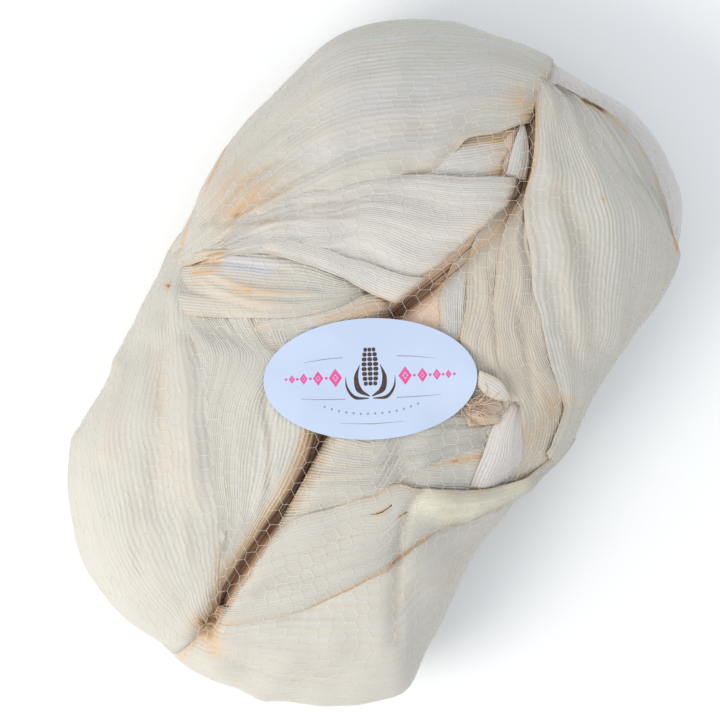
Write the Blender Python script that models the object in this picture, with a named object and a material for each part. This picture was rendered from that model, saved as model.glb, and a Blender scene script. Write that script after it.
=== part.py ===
"""Netted pack of dried corn husks, lying on its flat side.

Four nested stacks of husks are packed two by two into a pillow. The husks that show
are separate sheets, laid over the stacks and over each other. Lengths are in
millimetres here and become metres when a mesh is made. X runs across the pack,
Y along it and Z up; the pack rests on Z = 0.
"""
import math

import bmesh
import bpy
import numpy as np
from mathutils import Matrix

METRES = 0.001

# Size of the pillow that the inner stacks fill
PACK_HEIGHT = 92.0
RIM_HEIGHT = 38.0
TOP_ROUNDNESS = 2.3
BASE_ROUNDNESS = 3.0
FLAT_CUT = 8.0
FLAT_BLEND = 5.0
SIDE_RUN = 60.0

# Seen from above, the outermost husks end on this outline
OUTLINE = [(100, 0), (102, 59), (104, 80), (103, 103), (84, 145), (0, 163), (-77, 133), (-95, 95),
           (-105, 59), (-104, 0), (-99, -57), (-97, -97), (-77, -134), (0, -165), (81, -140), (91, -91), (90, -52)]

# Layers of husk over the stacks
LAYER_STEP = 3.0
HUSK_THICKNESS = 1.0
OUTER_LAYERS = 3
LABEL_LAYER = 4
FLOOR_LAYER = 5
CENTRE_SHIFT = (0.0, 0.0)

# Valleys between the stacks: route from above, depth, half width
MAIN_CREVICE = [(2, 160), (15, 128), (23, 98), (19, 66), (8, 31), (6, -10), (3, -60), (4, -110), (4, -160)]
VALLEYS = [
    (MAIN_CREVICE, 9.0, 14.0),
    ([(-107, -12), (-60, -19), (-20, -8)], 4.0, 13.0),
    ([(106, 32), (92, 8), (92, -18)], 3.0, 12.0),
]

# Inner stacks
STACK_INSET = 2.5
STACK_GAP = 4.0
STACK_REACH = 0.93
STACK_EDGE = 5.0
STACK_RINGS = [(0.4, 0, True), (0.75, 0, True), (0.94, 1, True), (1, STACK_EDGE, True),
               (1, STACK_EDGE, False), (0.92, 0, False), (0.5, 0, False)]
LEFT_SPLIT = [(5, -8), (-107, -16)]
RIGHT_SPLIT = [(8, 0), (106, 26)]

# Paper label and the two knots that close the net
LABEL_CENTRE = (7, -6)
LABEL_SIZE = (96.0, 54.6)
LABEL_TURN = 32.0
LABEL_THICKNESS = 0.6
KNOT_RADIUS = 4.5
KNOT_SIDES = 10
KNOT_PROFILE = [(-1.0, 0.25), (-0.7, 0.75), (0.0, 1.0), (0.7, 0.75), (1.1, 0.4), (2.2, 0.55), (4.4, 0.95)]
KNOTS = {"net_knot_upper": ((2, 149), -1), "net_knot_lower": ((-2, -150), 1)}

# Husks: layer, cells across and along, left edge and right edge from root to tip
HUSKS = {
    "husk_upper_left_inner": (1, 3, 9,
        [(-84, 25), (-57, 69), (-27, 108), (7, 142)],
        [(-78, 21), (-49, 54), (-15, 78), (14, 102)]),
    "husk_upper_left_fan": (2, 9, 14,
        [(-97, 15), (-108, 44), (-112, 73), (-106, 111), (-93, 149), (-54, 173), (-2, 178)],
        [(-88, 15), (-75, 37), (-54, 62), (-31, 87), (-9, 110), (11, 133)]),
    "husk_left_tan": (2, 3, 7,
        [(-96, -6), (-71, 10), (-41, 22), (-10, 30)],
        [(-80, -24), (-63, -17), (-46, -2), (-26, 12), (-15, 21)]),
    "husk_centre_short": (1, 2, 3,
        [(-54, 2), (-37, 16), (-15, 26)],
        [(-36, -6), (-20, 4), (-5, 17)]),
    "husk_white_tip": (2, 2, 2,
        [(10, 120), (12, 106)],
        [(13, 120), (22, 112)]),
    "husk_middle": (3, 6, 9,
        [(-83, 20), (-73, 40), (-56, 62), (-42, 74), (1, 100), (23, 111)],
        [(-81, 10), (-59, 17), (-31, 23), (-5, 28)]),
    "husk_middle_fold": (4, 2, 7,
        [(-72, 23), (-39, 36), (-20, 40), (-6, 43), (7, 46)],
        [(-73, 18), (-53, 24), (-29, 28), (-14, 29), (-1, 30)]),
    "husk_lower_left_curl": (1, 5, 11,
        [(-82, -16), (-57, -54), (-36, -85), (-17, -116), (-3, -139)],
        [(-54, -6), (-36, -16), (-20, -24), (-2, -38), (2, -60), (1, -87), (0, -107), (-1, -124), (-2, -138)]),
    "husk_lower_left": (3, 9, 14,
        [(-105, -7), (-117, -31), (-122, -66), (-120, -109), (-98, -153), (-51, -182), (-1, -182), (0, -155)],
        [(-95, -2), (-82, -16), (-74, -27), (-66, -34), (-54, -47), (-28, -80), (-6, -122), (-3, -142)]),
    "husk_upper_right": (3, 10, 17,
        [(9, 161), (30, 156), (60, 151), (86, 135), (104, 113), (122, 84), (127, 40), (123, -4), (118, -26)],
        [(8, 154), (14, 138), (22, 118), (28, 99), (39, 86), (50, 72), (63, 57), (74, 47), (86, 36),
         (92, 27), (95, 10), (93, -14)]),
    "husk_upper_right_end": (2, 3, 8,
        [(5, 174), (40, 184), (88, 170), (122, 132), (132, 96)],
        [(11, 156), (40, 150), (66, 142), (86, 126), (98, 104)]),
    "husk_upper_right_second": (1, 3, 8,
        [(33, 104), (52, 83), (75, 59), (96, 39), (100, 20), (95, -11)],
        [(27, 97), (27, 79), (35, 57), (47, 37), (64, 15), (80, -2), (90, -14)]),
    "husk_upper_right_third": (2, 2, 9,
        [(28, 100), (28, 87), (30, 75), (35, 62), (41, 50), (50, 36), (61, 27), (69, 19)],
        [(24, 100), (20, 83), (17, 72), (21, 57), (28, 43), (35, 33), (45, 23), (54, 16)]),
    "husk_crevice_strip": (1, 1, 5,
        [(23, 71), (24, 56), (31, 42), (38, 31)],
        [(16, 66), (16, 51), (20, 38), (28, 24)]),
    "husk_lower_right_inner": (1, 7, 9,
        [(5, -143), (25, -111), (56, -81), (80, -58), (102, -22)],
        [(5, -153), (22, -175), (57, -176), (99, -157), (125, -118), (131, -74), (129, -32)]),
    "husk_below_label": (2, 4, 5,
        [(6, -33), (27, -13), (52, 4)],
        [(7, -93), (27, -68), (49, -43), (57, -21)]),
    "husk_small_light": (1, 2, 2,
        [(55, -20), (71, -10)],
        [(50, -42), (75, -30)]),
    "husk_lower_right": (3, 7, 12,
        [(92, -18), (84, -24), (69, -32), (52, -41), (34, -55), (21, -69), (7, -90)],
        [(102, -24), (107, -41), (104, -68), (93, -90), (69, -104), (39, -113), (24, -127), (8, -141)]),
    "husk_right_lilac": (2, 2, 3,
        [(68, 3), (70, -9), (73, -22)],
        [(74, 8), (84, -4), (84, -16)]),
    "husk_bit_curled": (3, 1, 3,
        [(50, 20), (59, 21), (71, 20)],
        [(54, 15), (62, 14), (67, 15)]),
    "husk_bit_frayed": (3, 2, 3,
        [(51, 3), (57, 9), (69, 9)],
        [(58, -3), (65, -1), (71, 3)]),
}

# Husks of the underside: layer, cells across and along, the two edges seen from above
UNDERSIDE_HUSKS = {
    "underside_husk_left": (4, 7, 10,
        [(-14, 146), (-67, 117), (-83, 83), (-89, 51), (-88, 0), (-85, -50), (-83, -83), (-67, -117), (-16, -146)],
        [(-10, 140), (-30, 100), (-34, 50), (-30, 0), (-26, -60), (-22, -110), (-12, -140)]),
    "underside_husk_right": (4, 7, 12,
        [(10, 140), (30, 100), (34, 50), (30, 0), (26, -60), (22, -110), (12, -140)],
        [(14, 146), (72, 126), (91, 90), (90, 52), (86, 0), (78, -45), (79, -79), (71, -123), (16, -146)]),
    "underside_husk_middle": (5, 5, 12,
        [(-8, 132), (-40, 96), (-50, 40), (-50, -30), (-36, -90), (-8, -130)],
        [(8, 132), (40, 96), (50, 40), (50, -30), (36, -90), (8, -130)]),
}

HUSK_COLOURS = [(0.78, 0.69, 0.53), (0.74, 0.66, 0.50), (0.70, 0.60, 0.43), (0.80, 0.72, 0.58)]
STACK_COLOUR = (0.52, 0.37, 0.23)
LABEL_COLOUR = (0.80, 0.80, 0.90)
NET_COLOUR = (0.82, 0.80, 0.72)


def clear_scene():
    for item in list(bpy.data.objects):
        bpy.data.objects.remove(item, do_unlink=True)


def plain_material(name, colour, roughness):
    material = bpy.data.materials.new(name)
    material.use_nodes = True
    shader = material.node_tree.nodes["Principled BSDF"]
    shader.inputs["Base Color"].default_value = (*colour, 1.0)
    shader.inputs["Roughness"].default_value = roughness
    shader.inputs["Metallic"].default_value = 0.0
    return material


def add_solid(name, shape, colour, roughness, thickness=0.0):
    """Object from a shape in millimetres; an open sheet gets its thickness on the inner side."""
    bmesh.ops.translate(shape, vec=(*CENTRE_SHIFT, 0.0), verts=shape.verts)
    bmesh.ops.scale(shape, vec=(METRES, METRES, METRES), verts=shape.verts)
    mesh = bpy.data.meshes.new(name)
    shape.to_mesh(mesh)
    shape.free()
    mesh.materials.append(plain_material(name + "_surface", colour, roughness))
    solid = bpy.data.objects.new(name, mesh)
    bpy.context.scene.collection.objects.link(solid)
    if thickness:
        sheet = solid.modifiers.new("Thickness", "SOLIDIFY")
        sheet.thickness = thickness * METRES
        sheet.offset = -1.0
    return solid


def hermite(knots, values, slopes, at):
    """Smooth curve through the values, read at the given places."""
    cell = np.clip(np.searchsorted(knots, at, side="right") - 1, 0, len(knots) - 2)
    width = knots[cell + 1] - knots[cell]
    t = (at - knots[cell]) / width
    if values.ndim > 1:
        t = t[:, None]
        width = width[:, None]
    start = (1 + 2 * t) * (1 - t) ** 2 * values[cell] + t * (1 - t) ** 2 * width * slopes[cell]
    end = t * t * (3 - 2 * t) * values[cell + 1] + t * t * (t - 1) * width * slopes[cell + 1]
    return start + end


def smooth_line(points, count):
    """Evenly spaced points of the smooth open line through the given ones."""
    points = np.asarray(points, float)
    run = np.concatenate([[0.0], np.cumsum(np.linalg.norm(np.diff(points, axis=0), axis=1))])
    run /= run[-1]
    return hermite(run, points, np.gradient(points, run, axis=0), np.linspace(0.0, 1.0, count))


def outline_radius(angle):
    """Distance from the centre to the base outline, seen from above."""
    points = np.asarray(OUTLINE, float)
    around = np.mod(np.arctan2(points[:, 1], points[:, 0]), 2 * math.pi)
    order = np.argsort(around)
    knots = around[order]
    reach = np.linalg.norm(points[order], axis=1) - OUTER_LAYERS * LAYER_STEP
    knots = np.concatenate([knots - 2 * math.pi, knots, knots + 2 * math.pi])
    reach = np.tile(reach, 3)
    return hermite(knots, reach, np.gradient(reach, knots), np.mod(angle, 2 * math.pi))


def chart_place(plan):
    """Place on the pillow's skin: 0 at the middle, 1 at the rim, more beyond it."""
    plan = np.asarray(plan, float)
    length = np.linalg.norm(plan, axis=1)
    radius = outline_radius(np.arctan2(plan[:, 1], plan[:, 0]))
    inside = 2 / math.pi * np.arcsin(np.minimum(length / radius, 1.0))
    reach = np.where(length > radius, 1 + (length - radius) / SIDE_RUN, inside)
    return plan * (reach / np.maximum(length, 1e-9))[:, None]


def base_floor():
    return FLOOR_LAYER * LAYER_STEP


def base_top():
    return PACK_HEIGHT - LABEL_LAYER * LAYER_STEP - LABEL_THICKNESS


def upper_height(part):
    return RIM_HEIGHT + (base_top() - RIM_HEIGHT) * (1 - part ** TOP_ROUNDNESS) ** (1 / TOP_ROUNDNESS)


def lower_height(part):
    """Rounded side that runs into a flat underside."""
    flat = RIM_HEIGHT - base_floor()
    depth = (flat + FLAT_CUT) * (1 - part ** BASE_ROUNDNESS) ** (1 / BASE_ROUNDNESS)
    blend = np.clip(0.5 + 0.5 * (flat - depth) / FLAT_BLEND, 0.0, 1.0)
    return RIM_HEIGHT - (flat * (1 - blend) + depth * blend - FLAT_BLEND * blend * (1 - blend))


def pillow(chart, under):
    reach = np.linalg.norm(chart, axis=1)
    angle = np.arctan2(chart[:, 1], chart[:, 0])
    part = np.clip(np.sin(reach * math.pi / 2), 0.0, 1.0)
    length = outline_radius(angle) * part
    upper = (reach <= 1) != under
    height = np.where(upper, upper_height(part), lower_height(part))
    return np.stack([length * np.cos(angle), length * np.sin(angle), height], axis=1)


def line_distance(plan, line):
    """Distance from each point to a line of straight pieces, seen from above."""
    line = np.asarray(line, float)
    best = np.full(len(plan), 1e9)
    for start, end in zip(line[:-1], line[1:]):
        along = end - start
        t = np.clip((plan - start) @ along / (along @ along), 0.0, 1.0)
        best = np.minimum(best, np.linalg.norm(plan - start - t[:, None] * along, axis=1))
    return best


def valley_depth(place):
    depth = np.zeros(len(place))
    fade = np.clip((place[:, 2] - base_floor()) / 30.0, 0.0, 1.0)
    for route, deep, half_width in VALLEYS:
        distance = line_distance(place[:, :2], smooth_line(route, 24))
        depth = np.maximum(depth, deep * np.exp(-(distance / half_width) ** 2))
    return depth * fade


def skin(chart, lift, under=False):
    """Points lifted off the pillow along its normal, sunk where a valley runs."""
    place = pillow(chart, under)
    step = 0.01
    across = pillow(chart + [step, 0], under) - pillow(chart - [step, 0], under)
    along = pillow(chart + [0, step], under) - pillow(chart - [0, step], under)
    normal = np.cross(across, along)
    normal /= np.linalg.norm(normal, axis=1)[:, None]
    if under:
        normal = -normal
    return place + normal * (lift - valley_depth(place))[:, None]


def turns_left(left, right):
    """True where the way from the left edge to the right one, then to the tip, turns left."""
    across = right[0] + right[-1] - left[0] - left[-1]
    along = left[-1] + right[-1] - left[0] - right[0]
    return across[0] * along[1] - across[1] * along[0] > 0


def add_husk(name, layer, across, along, left, right, colour, under=False):
    """A husk sheet between its two long edges."""
    left = smooth_line(chart_place(left), along + 1)
    right = smooth_line(chart_place(right), along + 1)
    side = np.linspace(0.0, 1.0, across + 1)[None, :, None]
    chart = (left[:, None, :] * (1 - side) + right[:, None, :] * side).reshape(-1, 2)
    places = skin(chart, layer * LAYER_STEP, under)
    shape = bmesh.new()
    bmesh.ops.create_grid(shape, x_segments=across, y_segments=along, size=0.5)
    for vertex in shape.verts:
        column = round((vertex.co.x + 0.5) * across)
        row = round((vertex.co.y + 0.5) * along)
        vertex.co = places[row * (across + 1) + column]
    if turns_left(left, right) == under:
        bmesh.ops.reverse_faces(shape, faces=shape.faces)
    add_solid(name, shape, colour, 0.75, HUSK_THICKNESS)


def stack_outline(side, end, split):
    """Outline of one inner stack from above: crevice, pack outline, split line."""
    split = np.asarray(split, float)
    split = split + [0, end * STACK_GAP]
    crevice = smooth_line(MAIN_CREVICE if end < 0 else MAIN_CREVICE[::-1], 40)
    crevice = crevice + [side * STACK_GAP, 0]
    radius = STACK_REACH * outline_radius(np.arctan2(crevice[:, 1], crevice[:, 0]))
    keep = (crevice[:, 1] * end > split[0, 1] * end) & (np.linalg.norm(crevice, axis=1) < radius)
    crevice = crevice[keep]
    first = math.atan2(crevice[-1, 1], crevice[-1, 0])
    last = math.atan2(split[1, 1], split[1, 0])
    split[1] *= STACK_REACH * outline_radius(last) / np.linalg.norm(split[1])
    turn = math.remainder(last - first, 2 * math.pi)
    angles = first + turn * np.linspace(0.06, 0.97, 14)
    radius = STACK_REACH * outline_radius(angles)
    outer = np.stack([radius * np.cos(angles), radius * np.sin(angles)], axis=1)
    inner = split[1] + (split[0] - split[1]) * np.linspace(0.12, 0.97, 6)[:, None]
    return np.concatenate([crevice[::3], outer, inner])


def add_stack(name, side, end, split):
    """One of the nested stacks inside the pack, as a solid under the husk sheets."""
    outline = stack_outline(side, end, split)
    if side * end < 0:
        outline = outline[::-1]
    centre = outline.mean(axis=0)
    shape = bmesh.new()
    rings = []
    for scale, drop, upper in STACK_RINGS:
        plan = centre + (outline - centre) * scale
        reach = np.linalg.norm(plan, axis=1) / outline_radius(np.arctan2(plan[:, 1], plan[:, 0]))
        height = upper_height(reach) if upper else lower_height(reach)
        place = np.column_stack([plan, height])
        if upper:
            place[:, 2] -= STACK_INSET + drop + valley_depth(place)
        else:
            place[:, 2] += STACK_INSET + drop
        rings.append([shape.verts.new(point) for point in place])
    for ring, below in zip(rings[:-1], rings[1:]):
        for i in range(len(ring)):
            shape.faces.new((ring[i - 1], ring[i], below[i], below[i - 1]))
    top = shape.faces.new(rings[0][::-1])
    bottom = shape.faces.new(rings[-1])
    bmesh.ops.poke(shape, faces=[top, bottom])
    add_solid(name, shape, STACK_COLOUR, 0.85)


def add_label():
    """Oval paper label, bent over the top of the pack."""
    shape = bmesh.new()
    bmesh.ops.create_circle(shape, cap_ends=True, segments=40, radius=0.5)
    shape.faces.ensure_lookup_table()
    middle = shape.faces[0]
    for ring in range(4):
        bmesh.ops.inset_region(shape, faces=[middle], thickness=0.1)
    bmesh.ops.poke(shape, faces=[middle])
    bmesh.ops.scale(shape, vec=(*LABEL_SIZE, 1.0), verts=shape.verts)
    turn = Matrix.Rotation(math.radians(LABEL_TURN), 3, "Z")
    bmesh.ops.rotate(shape, cent=(0, 0, 0), matrix=turn, verts=shape.verts)
    bmesh.ops.translate(shape, vec=(*LABEL_CENTRE, 0.0), verts=shape.verts)
    plan = np.array([vertex.co[:2] for vertex in shape.verts])
    reach = np.linalg.norm(plan, axis=1) / outline_radius(np.arctan2(plan[:, 1], plan[:, 0]))
    for vertex, height in zip(shape.verts, upper_height(reach)):
        vertex.co.z = height + LABEL_LAYER * LAYER_STEP + LABEL_THICKNESS
    add_solid("label", shape, LABEL_COLOUR, 0.45, LABEL_THICKNESS)


def add_knot(name, place, direction):
    """Knot of gathered net with a short tail, lying on the floor under the pack's end."""
    shape = bmesh.new()
    line = [shape.verts.new((direction * along, radius, 0)) for along, radius in KNOT_PROFILE]
    edges = [shape.edges.new(pair) for pair in zip(line[:-1], line[1:])]
    bmesh.ops.spin(shape, geom=line + edges, cent=(0, 0, 0), axis=(direction, 0, 0), angle=2 * math.pi,
                   steps=KNOT_SIDES, use_merge=True)
    bmesh.ops.holes_fill(shape, edges=shape.edges, sides=KNOT_SIDES)
    bmesh.ops.recalc_face_normals(shape, faces=shape.faces)
    size = KNOT_RADIUS
    bmesh.ops.scale(shape, vec=(size, size, size), verts=shape.verts)
    bmesh.ops.translate(shape, vec=(*place, KNOT_RADIUS), verts=shape.verts)
    add_solid(name, shape, NET_COLOUR, 0.6)


clear_scene()
add_stack("stack_upper_left", -1, 1, LEFT_SPLIT)
add_stack("stack_lower_left", -1, -1, LEFT_SPLIT)
add_stack("stack_upper_right", 1, 1, RIGHT_SPLIT)
add_stack("stack_lower_right", 1, -1, RIGHT_SPLIT)
for number, (name, husk) in enumerate(HUSKS.items()):
    add_husk(name, *husk, HUSK_COLOURS[number % len(HUSK_COLOURS)])
for number, (name, husk) in enumerate(UNDERSIDE_HUSKS.items()):
    add_husk(name, *husk, HUSK_COLOURS[number % len(HUSK_COLOURS)], under=True)
add_label()
for name, (place, direction) in KNOTS.items():
    add_knot(name, place, direction)
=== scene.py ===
import math

import bmesh
import bpy
import numpy as np
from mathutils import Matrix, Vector
from mathutils.bvhtree import BVHTree


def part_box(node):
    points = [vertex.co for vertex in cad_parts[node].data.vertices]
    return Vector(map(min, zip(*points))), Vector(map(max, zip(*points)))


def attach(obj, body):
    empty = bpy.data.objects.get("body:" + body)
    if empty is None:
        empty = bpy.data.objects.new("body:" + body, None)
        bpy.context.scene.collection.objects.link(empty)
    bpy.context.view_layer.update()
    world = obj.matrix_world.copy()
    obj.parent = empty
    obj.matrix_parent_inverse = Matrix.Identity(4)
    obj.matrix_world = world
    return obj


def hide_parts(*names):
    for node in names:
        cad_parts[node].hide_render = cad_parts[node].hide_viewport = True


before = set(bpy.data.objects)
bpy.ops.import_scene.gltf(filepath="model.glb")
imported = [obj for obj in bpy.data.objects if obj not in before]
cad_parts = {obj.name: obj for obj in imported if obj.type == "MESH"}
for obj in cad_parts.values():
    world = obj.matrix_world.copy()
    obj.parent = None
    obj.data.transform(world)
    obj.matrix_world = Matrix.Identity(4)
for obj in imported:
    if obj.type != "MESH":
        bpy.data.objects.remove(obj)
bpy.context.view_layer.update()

# Lengths are in millimetres and become metres when a mesh is placed
METRES = 0.001

# The pillow that the husks lie on, as in the part's source but with a finer outline
RIM_HEIGHT = 38.0
TOP_ROUNDNESS = 2.3
BASE_ROUNDNESS = 3.0
FLAT_CUT = 8.0
FLAT_BLEND = 5.0
SIDE_RUN = 60.0
OUTLINE = [(100, 0), (102, 18), (100, 36), (99, 57), (101, 85), (99, 118), (84.5, 146), (58, 160),
           (29, 165), (0, 162), (-28, 158), (-54, 149), (-77, 133), (-90, 108), (-98, 82), (-102, 59),
           (-102.5, 37), (-102, 18), (-102, 0), (-101, -18), (-99, -36), (-97, -56), (-96, -81),
           (-92, -109.5), (-77, -133.5), (-55, -152), (-28, -157), (-16, -157), (0, -162.5),
           (28.5, -160), (55.3, -152), (80, -139.5), (91, -129), (92, -110), (87.7, -73.6), (88.5, -51),
           (92, -33.5), (96, -17)]
OUTER_LIFT = 9.0
BASE_FLOOR = 15.0
BASE_TOP = 79.4

# Husk sheets lie closer together here than the solids do
FIRST_LIFT = 4.5
LAYER_STEP = 1.5
SHEET = 0.36
UNDER_SWELL = 1.5
UNDER_LIFTS = {4: 12.6, 5: 14.3}
COLUMN_WIDTH = 0.8
ROW_LENGTH = 2.0
FLOOR_LAYER = 5
EDGE_FALL = 3.0
END_FALL = 12.0
END_UNEVENNESS = 9.0

MAIN_CREVICE = [(5, 166), (7, 150), (14, 130), (22, 113), (25, 100), (24, 85), (18, 67), (10, 46),
                (4, 31), (-2, 11), (-1, -14), (1, -34), (4, -60), (4, -75), (2, -92), (-1, -120),
                (-1, -144), (0, -166)]
CREVICE_FADE = (138.0, 160.0)
VALLEYS = [
    (MAIN_CREVICE[:8], 4.8, 4.2),
    (MAIN_CREVICE[7:], 8.0, 4.0),
    ([(-90, -8), (-60, -16), (-30, -4)], 2.5, 9.0),
    ([(92, 27), (92, 10), (88, -18)], 3.0, 8.0),
]

# Nested inner husks on each side of the crevice
INNER_END = 152
INNER_COUNT = 4

# Loose fibres beside the label
FIBRE_COUNT = 46
FIBRE_ROOT = (52.0, 6.0)
FIBRE_THICKNESS = 0.12

# Oval label, its long axis turned against X, and the printed ornament's height over it
LABEL_CENTRE = (7, -6)
LABEL_SIZE = (95.0, 54.0)
LABEL_TURN = 32.0
LABEL_THICKNESS = 0.22
LABEL_CLEARANCE = 0.65
INK_THICKNESS = 0.04

# Net sleeve: cells around it, rows along it, and how it draws in at its ends
NET_CELLS = 66
NET_ROWS = 64
NET_THREAD = 0.23
NET_REACH = 112.0
NET_BEND = 82.0
NET_LEVEL = 0.66
NET_MIDDLE_HEIGHT = 34.0
NET_END_DROP = 26.0
NET_RAY_STEPS = 180
NET_ZIGZAG = 0.22
KNOT_STRANDS = 7
KNOT_TWIST = 0.35
KNOT_RIDGE = 0.38

# Camera straight above the pack
CAMERA_TARGET = (-1.2, -1.0)
CAMERA_ROLL = 30.0
CAMERA_LENS = 150.0
PHOTO_WIDTH_MM = 331.6
CAMERA_SENSOR = 36.0
CAMERA_REACH = PHOTO_WIDTH_MM * CAMERA_LENS / CAMERA_SENSOR

# Colours that several finishes share, and the ribs' number in a tenth of a metre
TAN = (0.60, 0.41, 0.25)
BROWN = (0.20, 0.11, 0.06)
# lilac grey: partly the husks' own tint, partly painted bluish shade on their upper parts
LILAC_GREY_AND_PAINTED_SHADE = (0.56, 0.56, 0.62)
# painted highlight: pale straw where a fold ridge is lit
PAINTED_HIGHLIGHT_STRAW = (0.86, 0.81, 0.64)
RIB_SCALE = 21.5
FLOOR_COLOUR = (0.93, 0.93, 0.93, 1.0)
SKY_COLOUR = (0.93, 0.965, 1.0, 1.0)
SKY_STRENGTH = 0.82


def start_clean():
    """Nothing selected, so that an operator reaches only its own piece."""
    if bpy.context.object and bpy.context.object.mode != "OBJECT":
        bpy.ops.object.mode_set(mode="OBJECT")
    bpy.ops.object.select_all(action="DESELECT")


def hermite(knots, values, slopes, at):
    """Smooth curve through the values, read at the given places."""
    cell = np.clip(np.searchsorted(knots, at, side="right") - 1, 0, len(knots) - 2)
    width = knots[cell + 1] - knots[cell]
    t = (at - knots[cell]) / width
    if values.ndim > 1:
        t = t[:, None]
        width = width[:, None]
    start = (1 + 2 * t) * (1 - t) ** 2 * values[cell] + t * (1 - t) ** 2 * width * slopes[cell]
    end = t * t * (3 - 2 * t) * values[cell + 1] + t * t * (t - 1) * width * slopes[cell + 1]
    return start + end


def smooth_line(points, at):
    """Places along the smooth open line through the points, at fractions of its length."""
    points = np.asarray(points, float)
    run = np.concatenate([[0.0], np.cumsum(np.linalg.norm(np.diff(points, axis=0), axis=1))])
    run /= run[-1]
    return hermite(run, points, np.gradient(points, run, axis=0), np.asarray(at, float))


def outline_table():
    """Radius of the stacks around the pack, ready to read between its points."""
    points = np.asarray(OUTLINE, float)
    around = np.mod(np.arctan2(points[:, 1], points[:, 0]), 2 * math.pi)
    order = np.argsort(around)
    knots = around[order]
    reach = np.tile(np.linalg.norm(points[order], axis=1) - OUTER_LIFT, 3)
    knots = np.concatenate([knots - 2 * math.pi, knots, knots + 2 * math.pi])
    return knots, reach, np.gradient(reach, knots)


OUTLINE_TABLE = outline_table()


def outline_radius(angle):
    """Radius of the stacks at an angle, seen from above."""
    return hermite(*OUTLINE_TABLE, np.mod(angle, 2 * math.pi))


def flat_place(plan):
    """Place on the pillow's skin: 0 at the middle, 1 at the rim, more beyond it."""
    plan = np.asarray(plan, float)
    length = np.linalg.norm(plan, axis=1)
    radius = outline_radius(np.arctan2(plan[:, 1], plan[:, 0]))
    inside = 2 / math.pi * np.arcsin(np.minimum(length / radius, 1.0))
    reach = np.where(length > radius, 1 + (length - radius) / SIDE_RUN, inside)
    return plan * (reach / np.maximum(length, 1e-9))[:, None]


def seen_length(length, radius):
    """How far from the middle a place is seen from the camera, once the husks lie on it."""
    part = np.clip(length / radius, 1e-4, 0.9999)
    slope = (BASE_TOP - RIM_HEIGHT) / radius * part ** (TOP_ROUNDNESS - 1)
    slope = slope * (1 - part ** TOP_ROUNDNESS) ** (1 / TOP_ROUNDNESS - 1)
    level = 1 / np.sqrt(1 + slope ** 2)
    rise = upper_height(part) + OUTER_LIFT * level - RIM_HEIGHT
    return (length + OUTER_LIFT * slope * level) * CAMERA_REACH / (CAMERA_REACH - rise)


def seen_place(plan):
    """Place on the pillow's skin for a point as the camera sees it, in millimetres at the rim."""
    plan = np.asarray(plan, float)
    length = np.linalg.norm(plan, axis=1)
    radius = outline_radius(np.arctan2(plan[:, 1], plan[:, 0]))
    low = np.zeros(len(plan))
    high = radius.copy()
    for _ in range(30):
        middle = 0.5 * (low + high)
        short = seen_length(middle, radius) < length
        low = np.where(short, middle, low)
        high = np.where(short, high, middle)
    beyond = length - radius - OUTER_LIFT
    reach = np.where(beyond > 0, 1 + beyond / SIDE_RUN,
                     2 / math.pi * np.arcsin(np.minimum(low / radius, 1.0)))
    return plan * (reach / np.maximum(length, 1e-9))[:, None]


def as_seen(place, normal):
    """Where the camera sees a place of the skin, in millimetres at the rim."""
    outer = place + OUTER_LIFT * normal
    return outer[:, :2] * (CAMERA_REACH / (CAMERA_REACH - (outer[:, 2] - RIM_HEIGHT)))[:, None]


def upper_height(part):
    """Height of the pillow's upper side at a share of its radius."""
    part = np.minimum(part, 1.0)
    return RIM_HEIGHT + (BASE_TOP - RIM_HEIGHT) * (1 - part ** TOP_ROUNDNESS) ** (1 / TOP_ROUNDNESS)


def lower_height(part):
    """Height of the pillow's lower side, flat in the middle where it rests."""
    flat = RIM_HEIGHT - BASE_FLOOR
    depth = (flat + FLAT_CUT) * (1 - part ** BASE_ROUNDNESS) ** (1 / BASE_ROUNDNESS)
    blend = np.clip(0.5 + 0.5 * (flat - depth) / FLAT_BLEND, 0.0, 1.0)
    return RIM_HEIGHT - (flat * (1 - blend) + depth * blend - FLAT_BLEND * blend * (1 - blend))


def pillow(chart, under=False):
    """Place in space for a place on the pillow's skin."""
    reach = np.linalg.norm(chart, axis=1)
    angle = np.arctan2(chart[:, 1], chart[:, 0])
    part = np.clip(np.sin(reach * math.pi / 2), 0.0, 1.0)
    length = outline_radius(angle) * part
    upper = (reach <= 1) != under
    height = np.where(upper, upper_height(part), lower_height(part))
    return np.stack([length * np.cos(angle), length * np.sin(angle), height], axis=1)


def pillow_normal(chart, under=False):
    """Outward direction at a place on the pillow's skin."""
    step = 0.01
    across = pillow(chart + [step, 0], under) - pillow(chart - [step, 0], under)
    along = pillow(chart + [0, step], under) - pillow(chart - [0, step], under)
    normal = np.cross(across, along)
    normal /= np.linalg.norm(normal, axis=1)[:, None]
    return -normal if under else normal


def line_distance(plan, line):
    """Distance to a line of straight pieces, seen from above."""
    line = np.asarray(line, float)
    best = np.full(len(plan), 1e9)
    for start, end in zip(line[:-1], line[1:]):
        along = end - start
        t = np.clip((plan - start) @ along / (along @ along), 0.0, 1.0)
        best = np.minimum(best, np.linalg.norm(plan - start - t[:, None] * along, axis=1))
    return best


def smoothstep(low, high, value):
    """Smooth rise from 0 to 1 between two values."""
    t = np.clip((value - low) / (high - low), 0.0, 1.0)
    return t * t * (3 - 2 * t)


def valley_depth(seen, height):
    """How deep the crevice and the side grooves press the husks in."""
    depth = np.zeros(len(seen))
    fade = np.clip((height - BASE_FLOOR) / 30.0, 0.0, 1.0)
    for route, deep, half_width in VALLEYS:
        distance = line_distance(seen, smooth_line(route, np.linspace(0, 1, 90)))
        depth = np.maximum(depth, deep * np.exp(-(distance / half_width) ** 2))
    return depth * fade * (1 - smoothstep(*CREVICE_FADE, np.abs(seen[:, 1])))


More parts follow.
